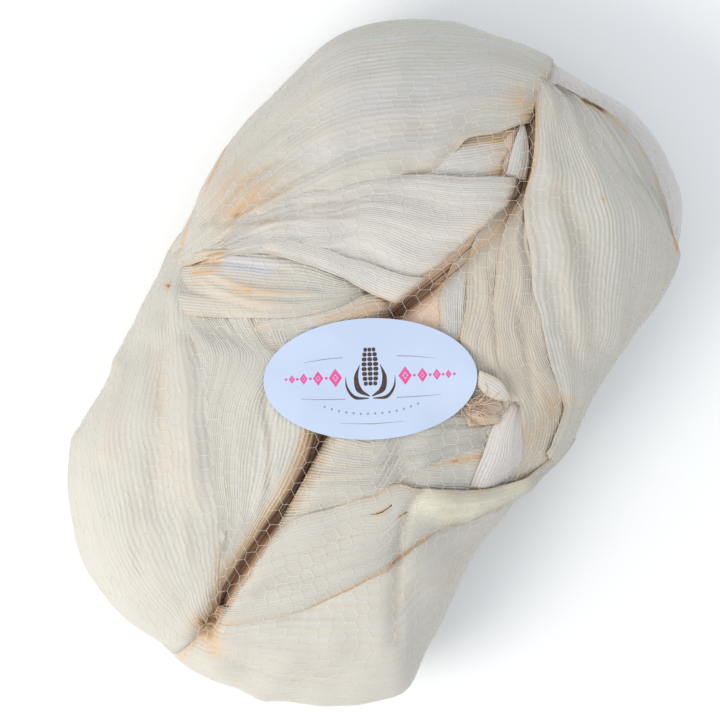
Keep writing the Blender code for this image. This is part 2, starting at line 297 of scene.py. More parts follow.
def lattice_noise(x, y, seed):
    """Smooth noise from 0 to 1 with one bump to a unit."""
    table = np.random.default_rng(seed).random((97, 89))
    column = np.floor(x).astype(int)
    row = np.floor(y).astype(int)
    s = x - column
    t = y - row
    s = s * s * (3 - 2 * s)
    t = t * t * (3 - 2 * t)
    low = table[column % 97, row % 89] * (1 - s) + table[(column + 1) % 97, row % 89] * s
    high = table[column % 97, (row + 1) % 89] * (1 - s) + table[(column + 1) % 97, (row + 1) % 89] * s
    return low * (1 - t) + high * t


def lumps(seen, height):
    """Slow swell of the whole pack, the same for every layer."""
    x, y = seen.T
    wave = 3.4 * (lattice_noise(x / 27 + 40, y / 33 + 40, 3) - 0.5)
    wave += 2.0 * (lattice_noise(x / 13 + 40, y / 17 + 40, 4) - 0.5)
    return wave * np.clip((height - BASE_FLOOR - 4) / 20.0, 0.0, 1.0)


def find_cell(seen, height, point):
    """Row and column of the grid place nearest to a point that the camera sees."""
    gap = np.linalg.norm(seen - np.asarray(point, float), axis=2)
    gap += np.where(height > RIM_HEIGHT - 12, 0, 1e6)
    return np.unravel_index(np.argmin(gap), gap.shape)


class Look:
    """A new material with its shader, and the nodes that make its look."""

    def __init__(self, name, roughness, specular):
        self.material = bpy.data.materials.new(name)
        self.material.use_nodes = True
        self.tree = self.material.node_tree
        self.shader = self.tree.nodes["Principled BSDF"].inputs
        self.shader["Roughness"].default_value = roughness
        self.shader["Specular IOR Level"].default_value = specular

    def fill(self, socket, value):
        """Input given a value or joined to another node's output."""
        if isinstance(value, bpy.types.NodeSocket):
            self.tree.links.new(value, socket)
        else:
            socket.default_value = value

    def node(self, kind, **inputs):
        """New node of a kind, with the inputs that are named."""
        node = self.tree.nodes.new("ShaderNode" + kind)
        for name, value in inputs.items():
            self.fill(node.inputs[name.replace("_", " ")], value)
        return node

    def noise(self, place, scale, detail=3.0, roughness=0.55):
        """Noise read at a place."""
        node = self.node("TexNoise", Vector=place, Scale=scale, Detail=detail, Roughness=roughness)
        return node.outputs["Fac"]

    def streaks(self, place, scale, detail=3.0, roughness=0.6):
        """Noise stretched differently along each axis."""
        stretched = self.node("Mapping", Vector=place, Scale=scale).outputs["Vector"]
        return self.noise(stretched, 1.0, detail, roughness)

    def math(self, operation, first, second):
        """Sum, difference or product of two values."""
        node = self.node("Math")
        node.operation = operation
        for socket, value in zip(node.inputs, (first, second)):
            self.fill(socket, value)
        return node.outputs["Value"]

    def ranged(self, value, low, high, new_low=0.0, new_high=1.0):
        """Value moved from one range to another and held inside it."""
        node = self.node("MapRange", Value=value, From_Min=low, From_Max=high, To_Min=new_low,
                         To_Max=new_high)
        return node.outputs["Result"]

    def blended(self, factor, first, second):
        """Colour between two colours."""
        node = self.node("Mix")
        node.data_type = "RGBA"
        for name, value in (("Factor", factor), ("A", first), ("B", second)):
            self.fill(node.inputs[name], (*value, 1.0) if isinstance(value, tuple) else value)
        return node.outputs["Result"]

    def bump(self, height, strength, distance):
        """Relief too fine for the mesh."""
        node = self.node("Bump", Height=height, Strength=strength, Distance=distance)
        self.fill(self.shader["Normal"], node.outputs["Normal"])


def husk_material(name, pale, deep, tan=TAN, brown=BROWN):
    """Dry husk: fine ribs along the husk, streaks between them, tan at its stains and as painted shade in
    crevices, lilac grey that is partly painted bluish shade, and a painted pale straw highlight.
    """
    look = Look(name, 0.6, 0.3)
    ribs = look.node("UVMap")
    ribs.uv_map = "UVMap"
    plain = ribs.outputs["UV"]
    wander = look.streaks(plain, (5, 2.2, 1), 2.0, 0.55)
    shift = look.node("VectorMath")
    shift.operation = "MULTIPLY_ADD"
    for socket, value in zip(shift.inputs, (wander, (0.05, 0.0, 0.0), plain)):
        look.fill(socket, value)
    line = shift.outputs["Vector"]
    fine = look.streaks(line, (95, 1.3, 1), 2.0, 0.5)
    broad = look.streaks(line, (17, 0.7, 1))
    fleck = look.streaks(line, (55, 16, 1))
    patch = look.streaks(line, (3.5, 2.0, 1), 3.0, 0.5)
    wave = look.node("TexWave", Vector=line, Scale=RIB_SCALE, Distortion=0.0)
    wave.wave_profile = "SIN"
    rib = look.math("MULTIPLY", wave.outputs["Fac"], look.ranged(patch, 0.3, 0.7, 0.45, 1.0))
    streak = look.math("ADD", look.ranged(broad, 0.36, 0.68, 0.0, 0.55),
                       look.ranged(fine, 0.42, 0.62, 0.0, 0.3))
    colour = look.blended(streak, pale, deep)
    groove = look.math("MULTIPLY", look.math("SUBTRACT", 1.0, rib), 0.14)
    colour = look.blended(groove, colour, tan)
    colour = look.blended(look.ranged(fleck, 0.68, 0.8, 0.0, 0.2), colour, tan)
    marks_and_painted_light = []
    for mark in ("tan", "tint_and_painted_light"):
        node = look.node("Attribute")
        node.attribute_name = mark
        marks_and_painted_light.append(node.outputs["Fac"])
    # tan and brown from the tan attribute, which holds stains and painted crevice shade
    dark = look.math("MULTIPLY", look.ranged(fine, 0.3, 0.65, 0.6, 1.2), marks_and_painted_light[0])
    colour = look.blended(look.ranged(dark, 0.0, 0.8), colour, tan)
    colour = look.blended(look.ranged(dark, 0.75, 1.6), colour, brown)
    # painted light: lilac grey, partly bluish shade, and a pale straw highlight
    colour = look.blended(look.ranged(marks_and_painted_light[1], 0.0, 1.0), colour, LILAC_GREY_AND_PAINTED_SHADE)
    colour = look.blended(look.ranged(marks_and_painted_light[1], 0.0, -1.0), colour, PAINTED_HIGHLIGHT_STRAW)
    look.fill(look.shader["Base Color"], colour)
    height = look.math("ADD", look.math("MULTIPLY", fine, 0.35), look.math("MULTIPLY", rib, 0.55))
    height = look.math("ADD", height, look.math("MULTIPLY", fleck, 0.3))
    height = look.math("ADD", height, look.math("MULTIPLY", broad, 0.8))
    look.bump(height, 0.8, 0.0006)
    look.shader["Sheen Weight"].default_value = 0.1
    look.shader["Sheen Roughness"].default_value = 0.5
    return look.material


def inner_material():
    """Nested inner husks of the stacks: tan to brown, ribbed along the pack."""
    look = Look("inner_husk_core", 0.8, 0.2)
    place = look.node("TexCoord").outputs["Object"]
    layers = look.streaks(place, (900, 40, 500))
    cloud = look.streaks(place, (40, 20, 60))
    colour = look.blended(look.ranged(layers, 0.35, 0.7), (0.50, 0.28, 0.175), (0.66, 0.44, 0.30))
    colour = look.blended(look.ranged(cloud, 0.5, 0.75, 0.0, 0.7), colour, (0.70, 0.50, 0.32))
    look.fill(look.shader["Base Color"], colour)
    look.bump(layers, 0.7, 0.001)
    return look.material


def net_material(name, solidity):
    """Thin milky plastic thread that lets most of the light through."""
    look = Look(name, 0.5, 0.25)
    worn = look.noise(look.node("TexCoord").outputs["Object"], 60.0)
    colour = look.blended(look.ranged(worn, 0.3, 0.7), (0.90, 0.87, 0.80), (0.95, 0.93, 0.88))
    look.fill(look.shader["Base Color"], colour)
    look.shader["Alpha"].default_value = solidity
    return look.material


def paper_material():
    """White label paper with a faint lilac cast and fine fibre."""
    look = Look("label_sheet", 0.42, 0.4)
    place = look.node("TexCoord").outputs["Object"]
    fibre = look.noise(place, 900.0)
    cloud = look.noise(place, 30.0, 2.0)
    colour = look.blended(look.ranged(cloud, 0.35, 0.7), (0.515, 0.60, 0.775), (0.55, 0.63, 0.79))
    colour = look.blended(look.ranged(fibre, 0.55, 0.8, 0.0, 0.12), colour, (0.48, 0.55, 0.76))
    look.fill(look.shader["Base Color"], colour)
    look.bump(fibre, 0.12, 0.0002)
    return look.material


def ink_material(name, colour, faded):
    """Printing ink, a little worn."""
    look = Look(name, 0.45, 0.4)
    wear = look.noise(look.node("TexCoord").outputs["Object"], 700.0)
    worn = look.blended(look.ranged(wear, 0.45, 0.75, 0.0, 0.5), colour, faded)
    look.fill(look.shader["Base Color"], worn)
    return look.material


TONES = {
    "warm": husk_material("husk_warm", (0.57, 0.575, 0.545), (0.53, 0.495, 0.415)),
    "cream": husk_material("husk_cream", (0.56, 0.555, 0.515), (0.54, 0.52, 0.46)),
    "white": husk_material("husk_white", (0.665, 0.655, 0.625), (0.61, 0.58, 0.525)),
    "straw": husk_material("husk_straw", (0.58, 0.54, 0.47), (0.525, 0.465, 0.375)),
    "grey": husk_material("husk_grey", (0.595, 0.59, 0.56), (0.53, 0.515, 0.465)),
    "tan": husk_material("husk_tan", (0.78, 0.59, 0.46), (0.68, 0.48, 0.35), (0.58, 0.37, 0.23),
                         (0.28, 0.14, 0.08)),
    "lilac": husk_material("husk_lilac", (0.66, 0.64, 0.63), (0.59, 0.56, 0.54)),
}
INNER = inner_material()
NET = net_material("net_thread", 0.34)
GATHERED_NET = net_material("net_gathered", 0.85)
PAPER = paper_material()


def new_piece(name, shape, material):
    """Scene piece from a finished bmesh."""
    mesh = bpy.data.meshes.new(name)
    shape.to_mesh(mesh)
    shape.free()
    piece = bpy.data.objects.new(name, mesh)
    bpy.context.scene.collection.objects.link(piece)
    mesh.materials.append(material)
    return piece


def apply_modifier(piece, modifier):
    """Modifier made part of the piece's mesh."""
    bpy.context.view_layer.objects.active = piece
    piece.select_set(True)
    bpy.ops.object.modifier_apply(modifier=modifier.name)


def finish_piece(piece, slot, *nodes):
    """Body and replaced nodes of a piece; the slot is not used."""
    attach(piece, "root")
    if nodes:
        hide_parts(*nodes)


def grid_sheet(name, places, rows, columns, flip, rib_lengths):
    """Grid primitive whose points are moved to the given places, with a map in tenths of metres."""
    start_clean()
    bpy.ops.mesh.primitive_grid_add(x_subdivisions=columns, y_subdivisions=rows, size=1.0)
    sheet = bpy.context.active_object
    sheet.name = name
    mesh = sheet.data
    mesh.name = name
    start = np.empty(len(mesh.vertices) * 3)
    mesh.vertices.foreach_get("co", start)
    start = start.reshape(-1, 3)
    column = np.rint((start[:, 0] + 0.5) * columns).astype(int)
    row = np.rint((start[:, 1] + 0.5) * rows).astype(int)
    order = row * (columns + 1) + column
    mesh.vertices.foreach_set("co", (places[order] * METRES).ravel())
    loops = np.empty(len(mesh.loops), dtype=np.int32)
    mesh.loops.foreach_get("vertex_index", loops)
    ribs = np.stack([column / columns * rib_lengths[0], row / rows * rib_lengths[1]], axis=1) * 0.01
    mesh.uv_layers["UVMap"].data.foreach_set("uv", ribs[loops].ravel())
    if flip:
        mesh.flip_normals()
    return sheet, order


def thicken(sheet, thickness, crisp=False):
    """Sheet made a closed body of its real thickness."""
    modifier = sheet.modifiers.new("Thickness", "SOLIDIFY")
    modifier.thickness = thickness * METRES
    modifier.offset = -1.0
    apply_modifier(sheet, modifier)
    if crisp:
        bpy.ops.object.shade_smooth_by_angle(angle=math.radians(35))
    else:
        bpy.ops.object.shade_smooth()
    sheet.select_set(False)


def wrinkles(across, along, seed):
    """Folds along the husk, pleats that gather at its root, and a few dents, in millimetres."""
    folds = lattice_noise(across / 8.0 + 3, along / 60.0 + 7, seed) - 0.5
    creases = np.abs(lattice_noise(across / 6.0 + 11, along / 48.0 + 5, seed + 3) - 0.5) - 0.2
    ribs = lattice_noise(across / 2.7 + 11, along / 45.0 + 5, seed + 1) - 0.5
    dents = lattice_noise(across / 15.0 + 1, along / 17.0 + 2, seed + 2) - 0.5
    gather = 0.4 + 1.5 * np.exp(-along / 28.0)
    return 1.2 * folds + (1.5 * creases + 0.35 * ribs) * gather + 0.9 * dents


def open_cracks(cracks, side, way, spread, seen, height):
    """Push a husk's grid apart along its cracks.

    Gives the new place of each point between the husk's edges, its lift and its tan, and the
    cells to cut out.
    """
    rows = height.shape[0] - 1
    columns = height.shape[1] - 1
    lift = np.zeros(len(side))
    tan = np.zeros(len(side))
    cells = []
    for start, end, gap in cracks:
        first = find_cell(seen, height, start)
        last = find_cell(seen, height, end)
        middle = min(max((first[1] + last[1]) // 2, 2), columns - 3)
        low, high = sorted((first[0], last[0]))
        high = max(high, low + 2)
        profile = np.sin(math.pi * np.clip((way * rows - low) / (high - low), 0, 1)) ** 0.7
        away = (side - (middle + 0.5) / columns) * spread
        push = 0.5 / columns - gap * profile / np.maximum(spread, 1.0) / 2
        fade = np.exp(-np.abs(away) / 3.0) * (profile > 0)
        side = side - np.sign(away) * push * fade
        lift += np.where(away > 0, 0.55, -0.1) * profile * np.exp(-np.abs(away) / 3.5)
        tan += 0.9 * profile * np.exp(-np.abs(away) / 1.1)
        cells.append((middle, low, high))
    return side, lift, tan, cells


def cut_cells(sheet, order, columns, cells):
    """Take the faces of the open cracks out of a husk's sheet."""
    shape = bmesh.new()
    shape.from_mesh(sheet.data)
    shape.verts.ensure_lookup_table()
    cut = []
    for face in shape.faces:
        corners = [order[corner.index] for corner in face.verts]
        row = min(corner // (columns + 1) for corner in corners)
        column = min(corner % (columns + 1) for corner in corners)
        if any(column == middle and low <= row < high for middle, low, high in cells):
            cut.append(face)
    bmesh.ops.delete(shape, geom=cut, context="FACES")
    shape.to_mesh(sheet.data)
    shape.free()


def resting_lift(layer, under, chart, seen, height):
    """How far off the pillow a layer lies, before its own folds."""
    if under:
        rise = UNDER_LIFTS[layer] - OUTER_LIFT - 1.6
        return UNDER_LIFTS[layer] - rise * smoothstep(0, 14, height - BASE_FLOOR)
    lift = FIRST_LIFT + layer * LAYER_STEP
    lift = lift + UNDER_SWELL * smoothstep(1.02, 1.25, np.linalg.norm(chart, axis=1))
    return lift + lumps(seen, height)


def stain_marks(stains, seen, height, streak):
    """Tan of the stains along lines or round points, none of them below the rim."""
    tan = np.zeros(len(height))
    for mark, radius, strength in stains:
        mark = mark if isinstance(mark, list) else [mark, (mark[0] + 0.1, mark[1])]
        spot = line_distance(seen, mark) + (height < RIM_HEIGHT + 1) * 99
        tan += strength * np.exp(-(spot / radius) ** 2) * (streak if radius > 2 else 1.0)
    return tan


def add_mark(sheet, name, values):
    """Mark of a husk's finish, kept at each point of its mesh."""
    marks_and_painted_light = sheet.data.attributes.new(name, "FLOAT", "POINT")
    marks_and_painted_light.data.foreach_set("value", values.astype(np.float32))


def root_turns_left(left_chart, right_chart):
    """Whether the way from the left edge to the right one turns left of the way to the tip."""
    left = smooth_line(left_chart, [0.1, 0.9])
    right = smooth_line(right_chart, [0.1, 0.9])
    over = (right[0] + right[1]) - (left[0] + left[1])
    onward = (left[1] + right[1]) - (left[0] + right[0])
    return over[0] * onward[1] - over[1] * onward[0] > 0


def husk(name, layer, left, right, tone="warm", under=False, dip=1.0, crown=0.0, wear=0.02, edge=0.7,
         root_tan=0.5, tip_tan=0.25, edge_tan=0.35, folds=(), cracks=(), stains=(), tint_and_painted_light_marks=(), seed=1,
         ripple=1.0, sink=(0, 0), tip_cut=(0.0, 0.0), valley_painted_shade=0.8, nodes=None, slot="husk"):
    """A husk sheet between its two long edges, which run from root to tip.

    Places are given as the camera sees them. folds holds (line, height, half width), cracks
    (start, end, gap), stains (point or line, radius, strength) and tint_and_painted_light_marks (line,
    radius, strength): above 0 a lilac grey that is partly painted bluish shade, below 0 a painted pale
    straw highlight. sink is how far the root and the tip go down under their neighbours, tip_cut
    the share of the length that the tip falls short, from the left edge to the right one, and
    valley_painted_shade how much tan is painted as shade where the husk bends into a crevice.
    """
    to_chart = flat_place if under else seen_place
    left_chart = to_chart(left)
    right_chart = to_chart(right)
    trial = np.linspace(0, 1, 25)
    edges = [pillow(smooth_line(chart, trial), under) for chart in (left_chart, right_chart)]
    length = max(np.linalg.norm(np.diff(edge_line, axis=0), axis=1).sum() for edge_line in edges)
    breadth = np.linalg.norm(edges[0] - edges[1], axis=1)
    width = breadth.max()
    columns = max(6, int(width / COLUMN_WIDTH))
    rows = max(5, int(length / ROW_LENGTH))
    side, way = np.meshgrid(np.linspace(0, 1, columns + 1), np.linspace(0, 1, rows + 1))
    side = side.ravel()
    way = way.ravel()
    ragged = 0.6 * lattice_noise(side * width / 3.0, side * 0, seed + 31)
    ragged += 0.4 * lattice_noise(side * width / 11.0, side * 0, seed + 32)

    def charted(side, way):
        """Places on the pillow's skin, with the worn and cut tip taken off."""
        short = np.interp(side, np.linspace(0, 1, len(tip_cut)), tip_cut)
        worn = way * (1 - wear * ragged - short)
        return (smooth_line(left_chart, worn) * (1 - side)[:, None]
                + smooth_line(right_chart, worn) * side[:, None])

    chart = charted(side, way)
    plain = pillow(chart, under)
    plain_seen = as_seen(plain, pillow_normal(chart, under)).reshape(rows + 1, columns + 1, 2)
    plain_height = plain[:, 2].reshape(rows + 1, columns + 1)
    spread = np.interp(way, trial, breadth)
    side, crack_lift, tan, cells = open_cracks(cracks, side, way, spread, plain_seen, plain_height)

    # the sheet's rest on the pack, and its own folds
    chart = charted(side, way)
    base = pillow(chart, under)
    normal = pillow_normal(chart, under)
    seen = as_seen(base, normal)
    height = base[:, 2]
    across = side * width
    along = way * length
    bottom = smoothstep(2, 12, height - BASE_FLOOR) if under else 1.0
    lift = resting_lift(layer, under, chart, seen, height)
    lift += wrinkles(across, along, seed) * ripple * bottom
    top = smoothstep(RIM_HEIGHT - 5, RIM_HEIGHT + 24, height)
    lift += crown * top * (1 - (2 * side - 1) ** 2) * np.sin(math.pi * np.clip(way, 0, 1)) ** 0.6
    to_edge = np.minimum(side, 1 - side) * spread
    to_tip = (1 - way) * length
    lift -= edge * np.exp(-(to_edge / EDGE_FALL) ** 2) + 0.5 * edge * np.exp(-(to_tip / EDGE_FALL) ** 2)
    uneven = END_UNEVENNESS * (ragged - 0.5)
    for depth, from_end in zip(sink, (along, to_tip)):
        lift -= depth * np.exp(-(np.maximum(from_end + uneven, 0) / END_FALL) ** 2)
    edge_wave = lattice_noise(along / 7.0, across * 0, seed + 9) - 0.35
    lift += 0.9 * np.exp(-to_edge / 2.0) * edge_wave * bottom
    for line, high, half_width in folds:
        distance = line_distance(seen, smooth_line(line, np.linspace(0, 1, 30)))
        near = np.exp(-(distance / half_width) ** 2) * (height > RIM_HEIGHT - 10)
        lift += high * near
        tan += 0.06 * abs(high) * near
    valley = np.zeros(len(side)) if under else valley_depth(seen, height)
    lift = lift + crack_lift - valley * dip
    places = base + normal * lift[:, None]
    if under:
        places[:, 2] = np.maximum(places[:, 2], 0.62 if layer == FLOOR_LAYER else 1.6)

    # tan at its ends and edges and at its stains, and tan painted as shade where it bends into a crevice
    streak = 0.3 + 1.4 * lattice_noise(across / 1.6, along / 45.0, seed + 20)
    tan += root_tan * np.exp(-along / 9.0) * streak
    tan += tip_tan * np.exp(-to_tip / 3.0) * streak
    edge_streak = 0.1 + 1.5 * lattice_noise(along / 12.0, across * 0, seed + 21)
    tan += edge_tan * np.exp(-to_edge / 1.0) * edge_streak
    # painted shade: tan where the husk bends down into a crevice
    tan += valley_painted_shade * smoothstep(2.6, 7.0, valley) * (0.5 + 0.5 * streak)
    tan += stain_marks(stains, seen, height, streak)
    # lilac grey above 0, partly painted bluish shade, and a painted pale straw highlight below 0
    tint_and_painted_light = np.zeros(len(side))
    for mark, radius, strength in tint_and_painted_light_marks:
        tint_and_painted_light += strength * np.exp(-(line_distance(seen, mark) / radius) ** 2) * (height > RIM_HEIGHT)

    flip = root_turns_left(left_chart, right_chart) == under
    sheet, order = grid_sheet(name + "_sheet", places, rows, columns, flip, (width, length))
    add_mark(sheet, "tan", np.clip(tan, 0, 2)[order])
    add_mark(sheet, "tint_and_painted_light", np.clip(tint_and_painted_light, -1, 1)[order])
    if cells:
        cut_cells(sheet, order, columns, cells)
    sheet.data.materials.append(TONES[tone])
    thicken(sheet, SHEET)
    finish_piece(sheet, slot, *(nodes if nodes is not None else [name]))
    return sheet


def upper_left_husks():
    """Fan gathered at the left edge, and the husks under and over its lower edge."""
    return [
        husk("husk_upper_left_inner", 1,
             [(-62, 66), (-36, 96), (-12, 119), (8, 136)],
             [(-50, 50), (-24, 72), (-2, 90), (15, 102)], tone="white", seed=11, root_tan=0.1, crown=0.4,
             tip_tan=0.3, wear=0.05, dip=0.9,
             stains=[((7, 118), 7, 0.6), ((12, 106), 6, 0.4),
                     ([(-10, 110), (0, 119), (10, 130)], 3, 0.5)]),
        husk("husk_upper_left_fan", 2.6,
             [(-117, -4), (-118, 28), (-116, 50), (-113, 82), (-101, 122), (-72, 157), (-36, 176),
              (-6, 178), (8, 168)],
             [(-98, -9), (-88, 2), (-77, 15), (-69, 32), (-62, 46), (-54, 57), (-46, 65), (-36, 73),
              (-26, 80), (-18, 86), (-12, 94), (-11, 104), (-9, 112), (0, 120), (13, 135)], tone="warm",
             seed=12, crown=1.6, root_tan=0.4, wear=0.01, dip=0.5, edge_tan=0.3, sink=(1.6, 0),
             folds=[([(-74, 36), (-58, 62), (-34, 88), (-6, 116)], 1.2, 3.0),
                    ([(-88, 22), (-74, 50), (-54, 80), (-30, 106)], -1.3, 3.0),
                    ([(-84, 20), (-76, 38), (-66, 58)], 0.9, 1.3),
                    ([(-90, 18), (-84, 38), (-72, 60)], 0.9, 1.5),
                    ([(-94, 18), (-90, 40), (-80, 62)], -1.0, 1.6),
                    ([(-98, 22), (-94, 46), (-84, 72)], 0.9, 1.8),
                    ([(-86, 12), (-76, 26), (-70, 38)], -0.8, 1.2),
                    ([(-100, 30), (-86, 84), (-52, 122)], 1.0, 4.0), ([(-82, 26), (-76, 30)], -1.4, 2.0),
                    ([(-80, 66), (-50, 100), (-20, 126), (4, 142)], 0.9, 3.0),
                    ([(-22, 84), (-15, 90), (-13, 98), (-13, 105)], -2.6, 5.0)],
             stains=[([(-85, 28), (-81, 30)], 1.8, 0.55), ([(-80, 21), (-75, 24)], 1.8, 0.5),
                     ([(-91, 42), (-84, 54)], 1.3, 0.3), ([(-86, 40), (-80, 50)], 1.0, 0.25),
                     ([(-75, 42), (-69, 51)], 1.3, 0.25), ((-84, 36), 15, 0.42),
                     ([(-92, 22), (-84, 34)], 1.0, 0.25), ([(-103, 53), (-101, 34)], 0.8, 1.0),
                     ([(-100, 16), (-99, 4)], 0.8, 0.7), ([(2, 140), (11, 135)], 5, 0.5)],
             # painted bluish shade on the fan's upper part
             tint_and_painted_light_marks=[([(-60, 100), (-20, 140)], 12, 0.3),
                         ([(-70, 70), (-40, 92), (-20, 104)], 5, 0.3)]),
        husk("husk_left_tan", 2.4,
             [(-106, -3), (-95, 2), (-81, 12.5), (-66, 21.5), (-49, 30), (-23, 31), (-11, 31)],
             [(-104, -29), (-90, -28), (-75, -21), (-59, -12), (-43, -3), (-28, 9), (-20, 18), (-12, 28)],
             tone="warm", seed=13, root_tan=0.4, crown=0.5, tip_tan=0.4, dip=0.9, sink=(2.6, 0),
             folds=[([(-78, -1), (-62, 2), (-34, 16)], 0.9, 1.5), ([(-92, -14), (-52, -4)], -0.9, 1.6),
                    ([(-92, 0), (-80, 5)], -1.4, 1.8), ([(-84, -6), (-62, -4), (-40, 6)], 0.7, 1.3),
                    ([(-86, 4), (-70, 10), (-50, 18)], -0.8, 1.5)],
             stains=[([(-88, -2), (-80, 4)], 3.2, 0.65), ([(-68, -2), (-61, 1)], 1.8, 0.5),
                     ([(-61, 1), (-36, 14)], 0.9, 0.28), ([(-92, -2), (-86, 5), (-80, 10)], 0.8, 1.0),
                     ([(-90, -6), (-80, 0)], 0.7, 0.7), ([(-84, -4), (-58, 4)], 12, 0.2)],
             tint_and_painted_light_marks=[([(-74, 8), (-60, 13)], 4.0, 0.75)]),
        husk("husk_centre_short", 1.7,
             [(-56, -12), (-38, 7), (-22, 21), (-8, 34)],
             [(-40, -20), (-25, -10), (-9, 4), (4, 22)], tone="grey", seed=14, root_tan=0.3, dip=0.95,
             stains=[([(-22, 6), (-6, 26)], 5, 0.7)]),
        husk("husk_white_tip", 2,
             [(9, 133), (11, 121), (15, 106)],
             [(12.5, 131), (20.5, 120), (24, 110)], tone="white", seed=15, root_tan=0.1, ripple=0.3,
             edge_tan=0.1, dip=0.5),
        husk("husk_middle", 3,
             [(-88, 14), (-80, 33), (-65, 53), (-43, 71), (-20, 87), (4, 99), (29, 113)],
             [(-82, 6), (-70, 16), (-60, 22), (-45, 26), (-27, 29), (-12, 30), (5, 34)], tone="white",
             seed=16, crown=1.6, dip=0.3, root_tan=0.6, wear=0.01, edge=0.6, edge_tan=0.3, tip_tan=0.4,
             sink=(2.6, 0), tip_cut=(0.045, 0.004, 0.004, 0.014, 0.045),
             folds=[([(-66, 32), (-50, 46), (-14, 62), (16, 84)], 0.7, 5.0),
                    ([(-62, 46), (-44, 62), (-10, 80)], -0.8, 4.0),
                    ([(-72, 28), (-56, 42), (-34, 54)], 0.7, 1.4),
                    ([(-70, 34), (-58, 48), (-40, 62)], -0.7, 1.4)],
             stains=[((23, 108), 4, 0.5), ([(-78, 26), (-66, 36)], 1.0, 0.5)]),
        husk("husk_middle_fold", 4.1,
             [(-72, 25), (-59, 30), (-40, 36), (-24, 39), (-8, 42), (8, 48)],
             [(-67, 19), (-60, 21.6), (-45, 25), (-27, 28), (-12, 28), (1, 30)], tone="white", seed=17,
             crown=0.2, dip=0.3, root_tan=0.2, edge_tan=0.25, edge=0.5, ripple=0.3, wear=0.02,
             sink=(1.0, 0)),
    ]


def lower_left_husks():
    """Broad husk over the lower left and the one that curls into the crevice."""
    return [
        husk("husk_lower_left_curl", 1.8,
             [(-100, -20), (-60, -56), (-34, -94), (-14, -126), (-4, -150)],
             [(-42, 2), (-25, -12), (-8, -24), (-2, -39), (1, -52), (2, -72), (0, -92), (-2, -117),
              (-3, -133), (-2, -150)], tone="warm", seed=21, crown=0.8, root_tan=0.3, edge_tan=0.9,
             sink=(2.0, 0),
             folds=[([(-40, -58), (-29, -74), (-14, -104)], -0.4, 2.0),
                    ([(-24, -50), (-14, -64), (-8, -84)], 1.3, 2.2),
                    ([(-31, -38), (-18, -56), (-9, -72)], -1.2, 2.0)],
             stains=[((-2, -142), 5, 0.8),
                     ([(-3, -40), (1, -56), (1.5, -76), (-1, -100), (-3, -128)], 2.8, 1.1),
                     ([(-6, -42), (-3, -56), (-2.5, -76), (-5, -100), (-7, -124)], 2.6, 0.6)]),
        husk("husk_lower_left", 3,
             [(-118, 12), (-119, -15), (-118, -40), (-116, -74), (-111, -108), (-95, -142), (-71, -166),
              (-42, -176), (-22, -177), (-8, -168), (-2, -154)],
             [(-97, 6), (-87, -11), (-76, -27), (-67, -34), (-54, -47), (-42, -62), (-28, -80),
              (-16, -100), (-5, -122), (-1, -136), (0, -148)], tone="cream", seed=22, crown=1.6,
             root_tan=0.3, wear=0.01, tip_tan=0.3, edge_tan=0.3, edge=1.9, sink=(0.7, 2.2), ripple=0.85,
             folds=[([(-86, -44), (-66, -74), (-50, -108)], -1.4, 5.0),
                    ([(-74, -36), (-58, -60), (-34, -96)], 1.1, 4.0),
                    ([(-94, -60), (-80, -96)], 1.2, 4.5), ([(-97, -97), (-98, -105)], 1.4, 2.5),
                    ([(-100, -44), (-98, -58)], 1.6, 3.0),
                    ([(-90, -24), (-76, -52), (-70, -66)], -1.0, 2.5),
                    ([(-62, -104), (-40, -134)], -0.9, 3.5), ([(-50, -84), (-24, -120)], 0.8, 2.5),
                    ([(-2, -150), (-12, -170)], -0.9, 8.0)],
             stains=[((-96, 0), 3, 0.5), ((-94.6, -15.6), 1.3, 1.9), ((-3, -143), 5, 0.9),
                     ([(-87, -11), (-76, -27), (-68, -34)], 1.2, 0.7),
                     ([(-13, -108), (-7, -121), (-4, -134)], 2.4, 0.6)]),
    ]


